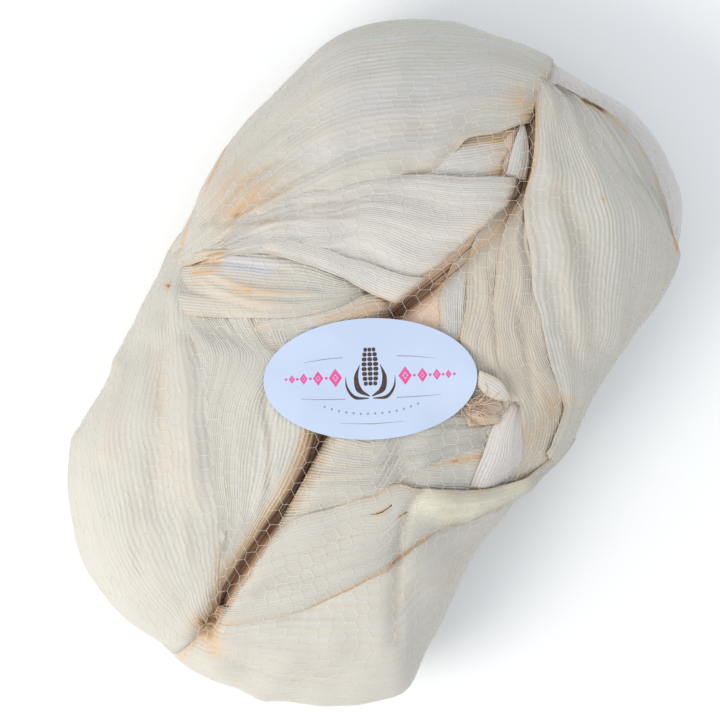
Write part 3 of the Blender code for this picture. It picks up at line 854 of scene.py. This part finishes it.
def upper_right_husks():
    """Broad husk over the upper right, those inside it, and the broken bits."""
    return [
        husk("husk_upper_right_end", 1,
             [(-12, 178), (40, 184), (88, 172), (122, 134), (134, 92)],
             [(-6, 146), (40, 142), (66, 134), (84, 118), (94, 92)], tone="lilac", seed=31, crown=0.4,
             root_tan=0.2, ripple=0.7),
        husk("husk_upper_right", 3,
             [(25, 155), (32, 155), (39, 156), (47, 155), (61, 149), (74, 142), (84, 133), (94, 123),
              (102, 112), (111, 97), (119, 78), (124, 50), (123, 20), (116, -4)],
             [(4, 153), (13, 138), (24, 114), (28, 100), (38, 86), (49, 70), (61, 58), (72, 46),
              (84, 35), (92, 27), (94, 20), (96, 4)], tone="warm", seed=32, crown=1.4, root_tan=0.2,
             edge_tan=0.25, wear=0.03, dip=0.3, ripple=0.75, edge=1.1,
             folds=[([(16, 146), (22, 132), (46, 104), (70, 70)], 1.1, 4.0),
                    ([(40, 112), (66, 92), (88, 60)], -1.6, 5.0),
                    ([(34, 138), (74, 104), (98, 66)], 1.0, 5.0), ([(60, 76), (84, 50)], -1.2, 3.5),
                    ([(28, 112), (44, 88), (72, 56)], -0.9, 2.5)],
             stains=[((90, 30), 4, 0.4), ([(28, 154), (34, 155), (39, 155)], 0.9, 1.9),
                     ([(42, 154), (52, 151)], 0.6, 0.7), ([(60, 148), (66, 145)], 0.6, 0.6),
                     ([(74, 141), (84, 132), (90, 126)], 0.6, 0.6), ([(94, 122), (99, 115)], 0.7, 1.0),
                     ((58, 118), 0.9, 0.9), ([(6, 150), (14, 136), (24, 114)], 1.2, 0.5)]),
        husk("husk_upper_right_second", 2,
             [(29, 106), (34, 99), (45, 81), (60, 64), (80, 46), (100, 32), (104, 14), (98, -10)],
             [(26, 106), (26, 87), (31, 70), (38, 53), (48, 38), (61, 24), (75, 14), (84, 0), (86, -20)],
             tone="straw", seed=33, crown=0.8, root_tan=0.4, dip=0.8,
             stains=[((88, 26), 8, 0.5), ((86, 8), 6, 0.4)],
             folds=[([(46, 60), (66, 38), (84, 14)], -1.0, 2.5)]),
        husk("husk_upper_right_third", 1,
             [(29, 100), (36, 78), (44, 60), (56, 43), (72, 29), (86, 12), (90, -14), (86, -24)],
             [(24, 102), (17, 77), (21, 60), (31, 38), (38, 24), (48, 12), (60, 1), (70, -6), (76, -26)],
             tone="straw", seed=34, crown=0.8, root_tan=0.4,
             folds=[([(30, 62), (44, 40), (64, 18)], 1.0, 2.5)],
             stains=[((84, -6), 6, 0.4)]),
        husk("husk_crevice_strip", 0.3,
             [(24, 84), (25, 59), (31, 44), (41, 31), (62, 8)],
             [(16, 82), (14, 56), (17, 40), (24, 27), (46, 0)], tone="grey", seed=35, root_tan=0.6),
        husk("husk_bit_curled", 3.8,
             [(48, 23), (58, 24), (69, 18)],
             [(51, 16), (58, 14), (66, 16)], tone="white", seed=36, ripple=0.7, wear=0.1, crown=0.5,
             edge=0.0, edge_tan=0.5, tip_tan=0.1, root_tan=0.1),
        husk("husk_bit_frayed", 3,
             [(49, 6), (57, 13), (70, 16)],
             [(58, -2), (65, 3), (72, 8)], tone="straw", seed=37, ripple=1.8, wear=0.4, crown=1.0,
             edge_tan=0.5, root_tan=0.3,
             stains=[((60, 6), 6, 0.25)]),
    ]


def lower_right_husks():
    """Husks from the label down to the right and bottom edges."""
    return [
        husk("husk_lower_right_inner", 1.9,
             [(-2, -138), (25, -104), (52, -74), (72, -46), (92, -20), (98, 8)],
             [(-46, -182), (-12, -186), (22, -188), (57, -184), (99, -168), (122, -128), (124, -82),
              (114, -36), (112, 12)], tone="cream", seed=41, crown=1.2, root_tan=0.4, wear=0.0,
             folds=[([(8, -146), (40, -134), (74, -110)], 1.1, 2.6),
                    ([(6, -152), (36, -148), (66, -132)], -1.2, 2.4),
                    ([(10, -158), (40, -158)], 1.0, 2.4),
                    ([(30, -120), (58, -100), (80, -70)], -1.0, 4.0),
                    ([(60, -68), (67, -84), (78, -104)], -1.8, 3.0), ([(88, -44), (86, -72)], 1.2, 5.0)],
             stains=[((0, -146), 5, 1.0), ((7, -150), 4, 0.5), ([(-3, -150), (-4, -160)], 2.0, 0.5)]),
        husk("husk_below_label", 2,
             [(3.2, -34), (29, -14), (48, 0), (71, 15)],
             [(4.5, -98), (25, -74), (41, -52), (50, -33), (58, -21), (74, -5)], tone="warm", seed=42,
             crown=0.9, root_tan=0.3, edge_tan=0.5, wear=0.03, dip=0.8, sink=(0, 1.5), valley_painted_shade=0.3,
             folds=[([(8, -60), (40, -30)], 0.8, 2.0), ([(8, -76), (40, -48)], -0.8, 2.0)]),
        husk("husk_small_light", 1.4,
             [(42, -32), (56, -17), (65, -8), (74, -4)],
             [(40, -56), (60, -42), (84, -32)], tone="cream", seed=43, ripple=0.5, root_tan=0.3,
             edge_tan=0.6,
             stains=[([(61, -19.5), (71, -12)], 1.9, 0.85), ([(53, -26), (61, -19.5)], 0.6, 0.9)]),
        husk("husk_lower_right", 3,
             [(101, 20), (97, 0), (90, -12), (84, -19), (75, -26), (61, -34), (51, -40), (34, -53),
              (21, -67), (10, -78), (4, -92)],
             [(106, 18), (103, 0), (95, -19), (86, -32), (78, -44), (70, -50), (64, -60), (60, -70),
              (57, -80), (48, -95), (36, -112), (21, -127), (2, -141)], tone="cream", seed=44, crown=1.6,
             root_tan=0.3, tip_tan=0.2, edge_tan=0.6, wear=0.01, edge=0.8, dip=0.5, valley_painted_shade=0.2,
             folds=[([(54, -38), (52, -46), (54, -57), (60, -72)], -1.9, 2.2),
                    ([(92, -12), (82, -22), (66, -32), (52, -38)], 1.5, 4.5),
                    ([(40, -62), (26, -88), (14, -116)], -0.9, 4.0)],
             # painted highlight: pale straw along the lit fold ridge
             tint_and_painted_light_marks=[([(58, -44), (66, -42), (76, -36)], 7.0, -0.9),
                         ([(84, -26), (92, -14)], 5.0, -0.7)],
             cracks=[((39, -60), (45, -52), 0.28), ((49, -56), (52, -51), 0.28)],
             stains=[((66, -36), 8, 0.25), ([(79, -43), (72, -48), (64, -60), (59, -74)], 1.1, 0.8),
                     ([(59, -74), (48, -94), (37, -111)], 1.0, 0.5)]),
        husk("husk_right_lilac", 2.7,
             [(70, 18), (68, 6), (70, -8), (73, -30)],
             [(73, 18), (83, 5), (89, -3), (89, -18)], tone="lilac", seed=45, ripple=0.5, crown=0.8,
             root_tan=0.2, edge_tan=0.2),
    ]


def underside_husks():
    """Husks that the pack rests on."""
    left = [(-14, 146), (-67, 117), (-83, 83), (-89, 51), (-88, 0), (-85, -50), (-83, -83), (-67, -117),
            (-16, -146)]
    left_inner = [(-10, 140), (-30, 100), (-34, 50), (-30, 0), (-26, -60), (-22, -110), (-12, -140)]
    right = [(14, 146), (72, 126), (91, 90), (90, 52), (86, 0), (78, -45), (79, -79), (71, -123),
             (16, -146)]
    right_inner = [(10, 140), (30, 100), (34, 50), (30, 0), (26, -60), (22, -110), (12, -140)]
    return [
        husk("underside_husk_left", 4, left, left_inner, under=True, seed=51, tone="warm", ripple=0.6,
             edge=2.6),
        husk("underside_husk_right", 4, right_inner, right, under=True, seed=52, tone="cream",
             ripple=0.6, edge=2.6),
        husk("underside_husk_middle", 5,
             [(-8, 132), (-40, 96), (-50, 40), (-50, -30), (-36, -90), (-8, -130)],
             [(8, 132), (40, 96), (50, 40), (50, -30), (36, -90), (8, -130)], under=True, seed=53,
             tone="warm", ripple=0.3, edge=0.0),
    ]


def inner_husks():
    """Nested husks between the visible ones and the cores, seen at the crevice."""
    sheets = []
    line = [(x, y) for x, y in MAIN_CREVICE if abs(y) < INNER_END]
    for side in (-1, 1):
        for depth in range(INNER_COUNT):
            offset = side * (2.0 - 1.7 * depth)
            edge = [(x + offset, y) for x, y in line]
            far = [(x + side * 34 * math.cos(y / 160 * 1.2), y * 0.96) for x, y in line]
            left, right = (far, edge) if side < 0 else (edge, far)
            name = "inner_husk_%s_%d" % ("left" if side < 0 else "right", depth + 1)
            sheets.append(husk(name, 0.4 - 0.8 * depth - (0.35 if side > 0 else 0), left, right,
                               tone="tan", seed=61 + depth + 7 * side, ripple=0.8, edge_tan=1.2,
                               root_tan=0.4, wear=0.0, nodes=[], slot="inner_husks"))
    return sheets


def frayed_fibres():
    """Loose tan fibres that curl out of the frayed husk beside the label."""
    rng = np.random.default_rng(38)
    fibres = []
    for count in range(FIBRE_COUNT):
        root = np.array(FIBRE_ROOT) + rng.uniform(-3.5, 3.5, 2)
        aim = math.radians(rng.uniform(-50, 65))
        length = rng.uniform(6.0, 15.0)
        curl = rng.uniform(-1.6, 1.6)
        steps = np.linspace(0, 1, 11)
        heading = aim + curl * steps
        run = np.cumsum(np.stack([np.cos(heading), np.sin(heading)], axis=1) * length / len(steps), axis=0)
        across = np.stack([-np.sin(heading), np.cos(heading)], axis=1)
        half = rng.uniform(0.14, 0.34) * (1 - 0.75 * steps)[:, None]
        plan = np.stack([root + run - across * half, root + run + across * half], axis=1).reshape(-1, 2)
        chart = seen_place(plan)
        base = pillow(chart)
        normal = pillow_normal(chart)
        lift = FIRST_LIFT + LAYER_STEP * 3.0 + lumps(as_seen(base, normal), base[:, 2])
        lift = lift + np.repeat(rng.uniform(0.4, 2.6) * np.sin(math.pi * steps * rng.uniform(0.5, 0.95)), 2)
        places = base + normal * lift[:, None]
        fibre = grid_sheet("frayed_fibre_%d" % count, places, len(steps) - 1, 1, False, (0.5, length))[0]
        for mark, value in (("tan", rng.uniform(0.0, 0.35)), ("tint_and_painted_light", 0.0)):
            add_mark(fibre, mark, np.full(len(fibre.data.vertices), value))
        fibre.data.materials.append(TONES["tan"])
        thicken(fibre, FIBRE_THICKNESS)
        fibres.append(fibre)
    start_clean()
    for fibre in fibres:
        fibre.select_set(True)
    bpy.context.view_layer.objects.active = fibres[0]
    bpy.ops.object.join()
    fibres[0].name = "frayed_fibres"
    finish_piece(fibres[0], "husk")


def dress_cores():
    """Husk finish on the four inner stacks."""
    for name in ("stack_upper_left", "stack_lower_left", "stack_upper_right", "stack_lower_right"):
        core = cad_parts[name]
        core.data.materials.clear()
        core.data.materials.append(INNER)


def surface_tree(pieces):
    """Search tree over the outer faces of the given pieces."""
    points = []
    faces = []
    for piece in pieces:
        first = len(points)
        points.extend(vertex.co.copy() for vertex in piece.data.vertices)
        faces.extend(tuple(first + index for index in face.vertices) for face in piece.data.polygons)
    return BVHTree.FromPolygons(points, faces)


def net_rays(row):
    """Start, height and direction of the net's row: level over the pack, fanned to the knots at its ends."""
    half = 0.5 * (NET_ROWS - 1)
    along = (row - half) / half
    y = NET_REACH * max(-1.0, min(1.0, along / NET_LEVEL))
    past = max(0.0, abs(along) - NET_LEVEL) / (1 - NET_LEVEL)
    bend = math.copysign(math.radians(NET_BEND) * past, along)
    return y, bend, NET_MIDDLE_HEIGHT - NET_END_DROP * past * past


def net_sleeve(tree):
    """Hexagonal net over all husks, pulled tight over the hollows, as a wire frame of its cells."""
    rows = []
    for row in range(NET_ROWS):
        y, bend, height = net_rays(row)
        start = Vector((0, y, height)) * METRES
        reach = []
        for step in range(NET_RAY_STEPS):
            angle = 2 * math.pi * step / NET_RAY_STEPS
            way = Vector((math.cos(bend) * math.cos(angle), math.sin(bend),
                          math.cos(bend) * math.sin(angle)))
            hit = tree.ray_cast(start + way * 0.4, -way, 0.4)
            reach.append(400 - hit[3] / METRES if hit[0] is not None else 20.0)
        rows.append(reach)
    reach = np.asarray(rows) + 0.2
    tight = reach.copy()
    for _ in range(60):
        mean = 0.25 * (np.roll(tight, 1, axis=1) + np.roll(tight, -1, axis=1))
        mean += 0.25 * (np.roll(tight, 2, axis=1) + np.roll(tight, -2, axis=1))
        tight = np.maximum(reach, mean * 0.998)
    count = 2 * NET_CELLS
    points = np.zeros((NET_ROWS, count, 3))
    for row in range(NET_ROWS):
        y, bend, height = net_rays(row)
        angle = 2 * math.pi * (np.arange(NET_RAY_STEPS + 1) / NET_RAY_STEPS)
        radius = np.append(tight[row], tight[row][0])
        loop = np.stack([radius * math.cos(bend) * np.cos(angle), y + radius * math.sin(bend),
                         height + radius * math.cos(bend) * np.sin(angle)], axis=1)
        run = np.concatenate([[0.0], np.cumsum(np.linalg.norm(np.diff(loop, axis=0), axis=1))])
        wanted = (np.arange(count) / count) * run[-1]
        for axis in range(3):
            points[row, :, axis] = np.interp(wanted, run, loop[:, axis])
    shape = bmesh.new()
    grid = {}
    for row in range(NET_ROWS):
        for step in range(count):
            neighbour = row + (NET_ZIGZAG if (row + step) % 2 == 0 else -NET_ZIGZAG)
            low = int(max(0, min(NET_ROWS - 2, math.floor(neighbour))))
            part = min(1.0, max(0.0, neighbour - low))
            place = points[low, step] * (1 - part) + points[low + 1, step] * part
            place[2] = max(place[2], 0.5 * NET_THREAD)
            grid[row, step] = shape.verts.new(place * METRES)
    for row in range(NET_ROWS - 1):
        for step in range(count):
            if (row + step) % 2 == 0:
                right = [(step + k) % count for k in range(3)]
                shape.faces.new([grid[row, right[0]], grid[row, right[1]], grid[row, right[2]],
                                 grid[row + 1, right[2]], grid[row + 1, right[1]], grid[row + 1, right[0]]])
    net = new_piece("net_sleeve", shape, NET)
    start_clean()
    wire = net.modifiers.new("Threads", "WIREFRAME")
    wire.thickness = NET_THREAD * METRES
    wire.use_even_offset = False
    wire.use_boundary = True
    apply_modifier(net, wire)
    bpy.ops.object.shade_smooth()
    finish_piece(net, "net_plastic")
    return net


def label_heights(tree, plan):
    """Height of a stiff sheet of paper laid over the husks and the net."""
    heights = []
    for x, y in plan:
        hit = tree.ray_cast(Vector((x, y, 200)) * METRES, Vector((0, 0, -1)), 0.4)
        heights.append(hit[0].z / METRES if hit[0] is not None else 60.0)
    return np.asarray(heights)


def label(tree):
    """Oval label, bent over the top of the pack, with its printed ornament."""
    size = 33
    reach = 0.56
    turn = math.radians(LABEL_TURN)

    def turned(a, b):
        """Place on the pack for a place along and across the label."""
        return (LABEL_CENTRE[0] + a * math.cos(turn) - b * math.sin(turn),
                LABEL_CENTRE[1] + a * math.sin(turn) + b * math.cos(turn))

    x, y = turned(*np.meshgrid(*(np.linspace(-reach, reach, size) * side for side in LABEL_SIZE)))
    floor = label_heights(tree, np.stack([x.ravel(), y.ravel()], axis=1)).reshape(size, size)
    floor = floor + LABEL_CLEARANCE
    height = floor.copy()
    for _ in range(300):
        padded = np.pad(height, 1, mode="reflect", reflect_type="odd")
        mean = 0.25 * (padded[2:, 1:-1] + padded[:-2, 1:-1] + padded[1:-1, 2:] + padded[1:-1, :-2])
        height = np.maximum(floor, mean)

    def drape(place):
        """Point on the label's curve for a place along and across it."""
        s = (place[0] / LABEL_SIZE[0] + reach) / (2 * reach) * (size - 1)
        t = (place[1] / LABEL_SIZE[1] + reach) / (2 * reach) * (size - 1)
        i = min(size - 2, max(0, int(s)))
        j = min(size - 2, max(0, int(t)))
        s -= i
        t -= j
        z = (height[j, i] * (1 - s) + height[j, i + 1] * s) * (1 - t)
        z += (height[j + 1, i] * (1 - s) + height[j + 1, i + 1] * s) * t
        return Vector((*turned(*place), z))

    def laid(name, rings, material, thickness, lift, *nodes):
        """Closed bands between outlines given from the middle out, laid on the label's curve."""
        start_clean()
        shape = bmesh.new()
        for band in rings:
            loops = [[shape.verts.new((drape(place) + Vector((0, 0, lift + thickness))) * METRES)
                      for place in loop] for loop in band]
            for inner, outer in zip(loops[:-1], loops[1:]):
                for i in range(len(outer)):
                    shape.faces.new((inner[i - 1], outer[i - 1], outer[i], inner[i]))
            bmesh.ops.remove_doubles(shape, verts=loops[0], dist=1e-7)
        bmesh.ops.recalc_face_normals(shape, faces=shape.faces)
        for face in shape.faces:
            if face.normal.z < 0:
                face.normal_flip()
        piece = new_piece(name, shape, material)
        thicken(piece, thickness, crisp=True)
        finish_piece(piece, "label_paper", *nodes)

    def oval(scale, count=120):
        """Loop in the label's own shape."""
        steps = [2 * math.pi * i / count for i in range(count)]
        return [(LABEL_SIZE[0] / 2 * scale * math.cos(s), LABEL_SIZE[1] / 2 * scale * math.sin(s))
                for s in steps]

    def blob(centre, radii, power=1.0, count=16):
        """Filled oval, squarer with a lower power."""
        loop = []
        for i in range(count):
            s = 2 * math.pi * i / count
            c = math.copysign(abs(math.cos(s)) ** power, math.cos(s)) * radii[0]
            d = math.copysign(abs(math.sin(s)) ** power, math.sin(s)) * radii[1]
            loop.append((centre[0] + c, centre[1] + d))
        return [[centre] * count, loop]

    def stroke(points, widths, count=28):
        """Band along a smooth line, with its width read along it."""
        line = smooth_line(points, np.linspace(0, 1, count))
        along = np.gradient(line, axis=0)
        along /= np.linalg.norm(along, axis=1)[:, None]
        out = np.stack([-along[:, 1], along[:, 0]], axis=1)
        half = np.interp(np.linspace(0, 1, count), np.linspace(0, 1, len(widths)), widths)[:, None] / 2
        middle = [tuple(place) for place in line]
        edge = [tuple(place) for place in line + out * half]
        edge += [tuple(place) for place in (line - out * half)[::-1]]
        return [middle + middle[::-1], edge]

    def mirrored(bands):
        """Bands on both sides of the label's middle."""
        return bands + [[[(-x, y) for x, y in loop] for loop in band] for band in bands]

    scales = [0.0, 0.12, 0.25, 0.38, 0.5, 0.62, 0.74, 0.86, 0.95, 1.0]
    laid("label_oval", [[oval(s) for s in scales]], PAPER, LABEL_THICKNESS, 0.0, "label")
    top = LABEL_THICKNESS + 0.01
    pink = ink_material("label_pink_ink", (0.72, 0.08, 0.30), (0.78, 0.22, 0.42))
    brown = ink_material("label_brown_ink", (0.055, 0.03, 0.03), (0.15, 0.10, 0.09))
    grey = ink_material("label_grey_ink", (0.30, 0.27, 0.31), (0.42, 0.40, 0.46))
    kernels = []
    for row in range(8):
        span = 3.9 * math.sqrt(1 - ((row - 3.2) / 5.4) ** 2)
        kernels += [blob((span * k / 1.5, -2.0 + 2.15 * row), (span / 3.4, 0.92), 0.8, 20)
                    for k in (-1.0, 0, 1.0)]
    cob = kernels + mirrored([stroke([(0.6, -7.6), (5.2, -4.6), (6.3, 0.6), (4.6, 6.4)],
                                     [0.5, 2.6, 1.9, 0.15]),
                              stroke([(1.0, -8.6), (7.4, -7.8), (10.6, -3.2), (11.0, 1.2)],
                                     [0.4, 1.5, 1.0, 0.1])])
    laid("label_brown_cob", cob, brown, INK_THICKNESS, top)
    lozenges = []
    for step, half in ((15.5, 4.1), (23.2, 3.2), (29.6, 2.5), (34.8, 1.9)):
        inner = [[(step + half * 0.72 * f * math.cos(q), 1.0 + half * f * math.sin(q))
                  for q in (0, math.pi / 2, math.pi, 1.5 * math.pi)] for f in (0.42, 1.0)]
        lozenges.append(inner)
        lozenges.append(blob((step, 1.0), (half * 0.17, half * 0.24)))
    lozenges += [blob((x, 1.0), (0.62, 0.62)) for x in (19.6, 26.6, 32.4, 37.4)]
    laid("label_pink_lozenges", mirrored(lozenges), pink, INK_THICKNESS, top)
    rules = mirrored([stroke([(11.5, -8.6), (22, -8.4), (31, -7.9)], [0.34, 0.34, 0.1]),
                      stroke([(12.0, 9.9), (20, 9.4), (29, 8.2)], [0.34, 0.34, 0.1])])
    rules += mirrored([blob((3.2 * k + 1.6, -15.4 + 0.010 * (3.2 * k) ** 2), (0.5, 0.5), count=12)
                       for k in range(7)])
    rules += [stroke([(-14, -19.3), (0, -19.9), (14, -19.3)], [0.1, 0.36, 0.1])]
    laid("label_grey_rules", rules, grey, INK_THICKNESS, top)


def knots():
    """Smoothly rounded knots of gathered net in place of their plain solids."""
    for name in ("net_knot_upper", "net_knot_lower"):
        start_clean()
        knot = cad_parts[name].copy()
        knot.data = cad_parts[name].data.copy()
        knot.name = name + "_gathered"
        bpy.context.scene.collection.objects.link(knot)
        shape = bmesh.new()
        shape.from_mesh(knot.data)
        bmesh.ops.remove_doubles(shape, verts=shape.verts, dist=1e-6)
        shape.to_mesh(knot.data)
        shape.free()
        knot.data.materials.clear()
        knot.data.materials.append(GATHERED_NET)
        knot.hide_render = False
        smooth = knot.modifiers.new("Rounding", "SUBSURF")
        smooth.levels = smooth.render_levels = 3
        apply_modifier(knot, smooth)
        low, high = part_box(name)
        middle = (np.asarray(low) + np.asarray(high)) / 2
        for vertex in knot.data.vertices:
            across, along, up = (np.asarray(vertex.co) - middle) / METRES
            radius = max(math.hypot(across, up), 0.01)
            ridge = KNOT_RIDGE * math.cos(KNOT_STRANDS * math.atan2(up, across) + KNOT_TWIST * along)
            grown = 1 + (ridge - KNOT_RIDGE) * min(radius / 2.0, 1.0) / radius
            vertex.co.x = middle[0] + across * grown * METRES
            vertex.co.z = middle[2] + up * grown * METRES
        bpy.ops.object.shade_smooth()
        finish_piece(knot, "net_plastic", name)


def studio():
    """Pale floor, soft light from the lower left and above, camera looking straight down."""
    start_clean()
    bpy.ops.mesh.primitive_plane_add(size=6.0, location=(0, 0, 0))
    floor = bpy.context.active_object
    floor.name = "floor"
    look = Look("pale_floor", 0.9, 0.1)
    look.shader["Base Color"].default_value = FLOOR_COLOUR
    floor.data.materials.append(look.material)
    roll = math.radians(CAMERA_ROLL)
    right = Vector((math.cos(roll), math.sin(roll), 0))
    up = Vector((-math.sin(roll), math.cos(roll), 0))

    def area_light(name, across, upward, height, size, power, colour):
        """Square light at a place given from the picture's middle, aimed at the pack."""
        bpy.ops.object.light_add(type="AREA")
        lamp = bpy.context.active_object
        lamp.name = name
        lamp.location = right * across + up * upward + Vector((0, 0, height))
        lamp.rotation_euler = (-lamp.location).to_track_quat("-Z", "Y").to_euler()
        lamp.data.size = size
        lamp.data.energy = power
        lamp.data.color = colour

    area_light("key_light", -1.0, -0.6, 0.9, 0.8, 14.0, (1.0, 0.965, 0.91))
    area_light("fill_light", 0.8, 0.7, 1.2, 1.4, 2.5, (0.72, 0.86, 1.0))
    world = bpy.data.worlds.new("soft_room")
    bpy.context.scene.world = world
    world.use_nodes = True
    sky = world.node_tree.nodes["Background"].inputs
    sky["Color"].default_value = SKY_COLOUR
    sky["Strength"].default_value = SKY_STRENGTH
    bpy.ops.object.camera_add()
    camera = bpy.context.active_object
    camera.name = "camera"
    camera.data.lens = CAMERA_LENS
    camera.location = Vector((*CAMERA_TARGET, RIM_HEIGHT + CAMERA_REACH)) * METRES
    camera.rotation_euler = (0, 0, roll)
    camera.data.clip_end = 20.0
    bpy.context.scene.camera = camera
    bpy.context.scene.view_settings.view_transform = "Standard"


start_clean()
studio()
dress_cores()
husks = upper_left_husks() + lower_left_husks() + upper_right_husks() + lower_right_husks()
husks += inner_husks()
husks += underside_husks()
frayed_fibres()
knots()
husk_tree = surface_tree(husks)
net = net_sleeve(husk_tree)
label(surface_tree(husks + [net]))
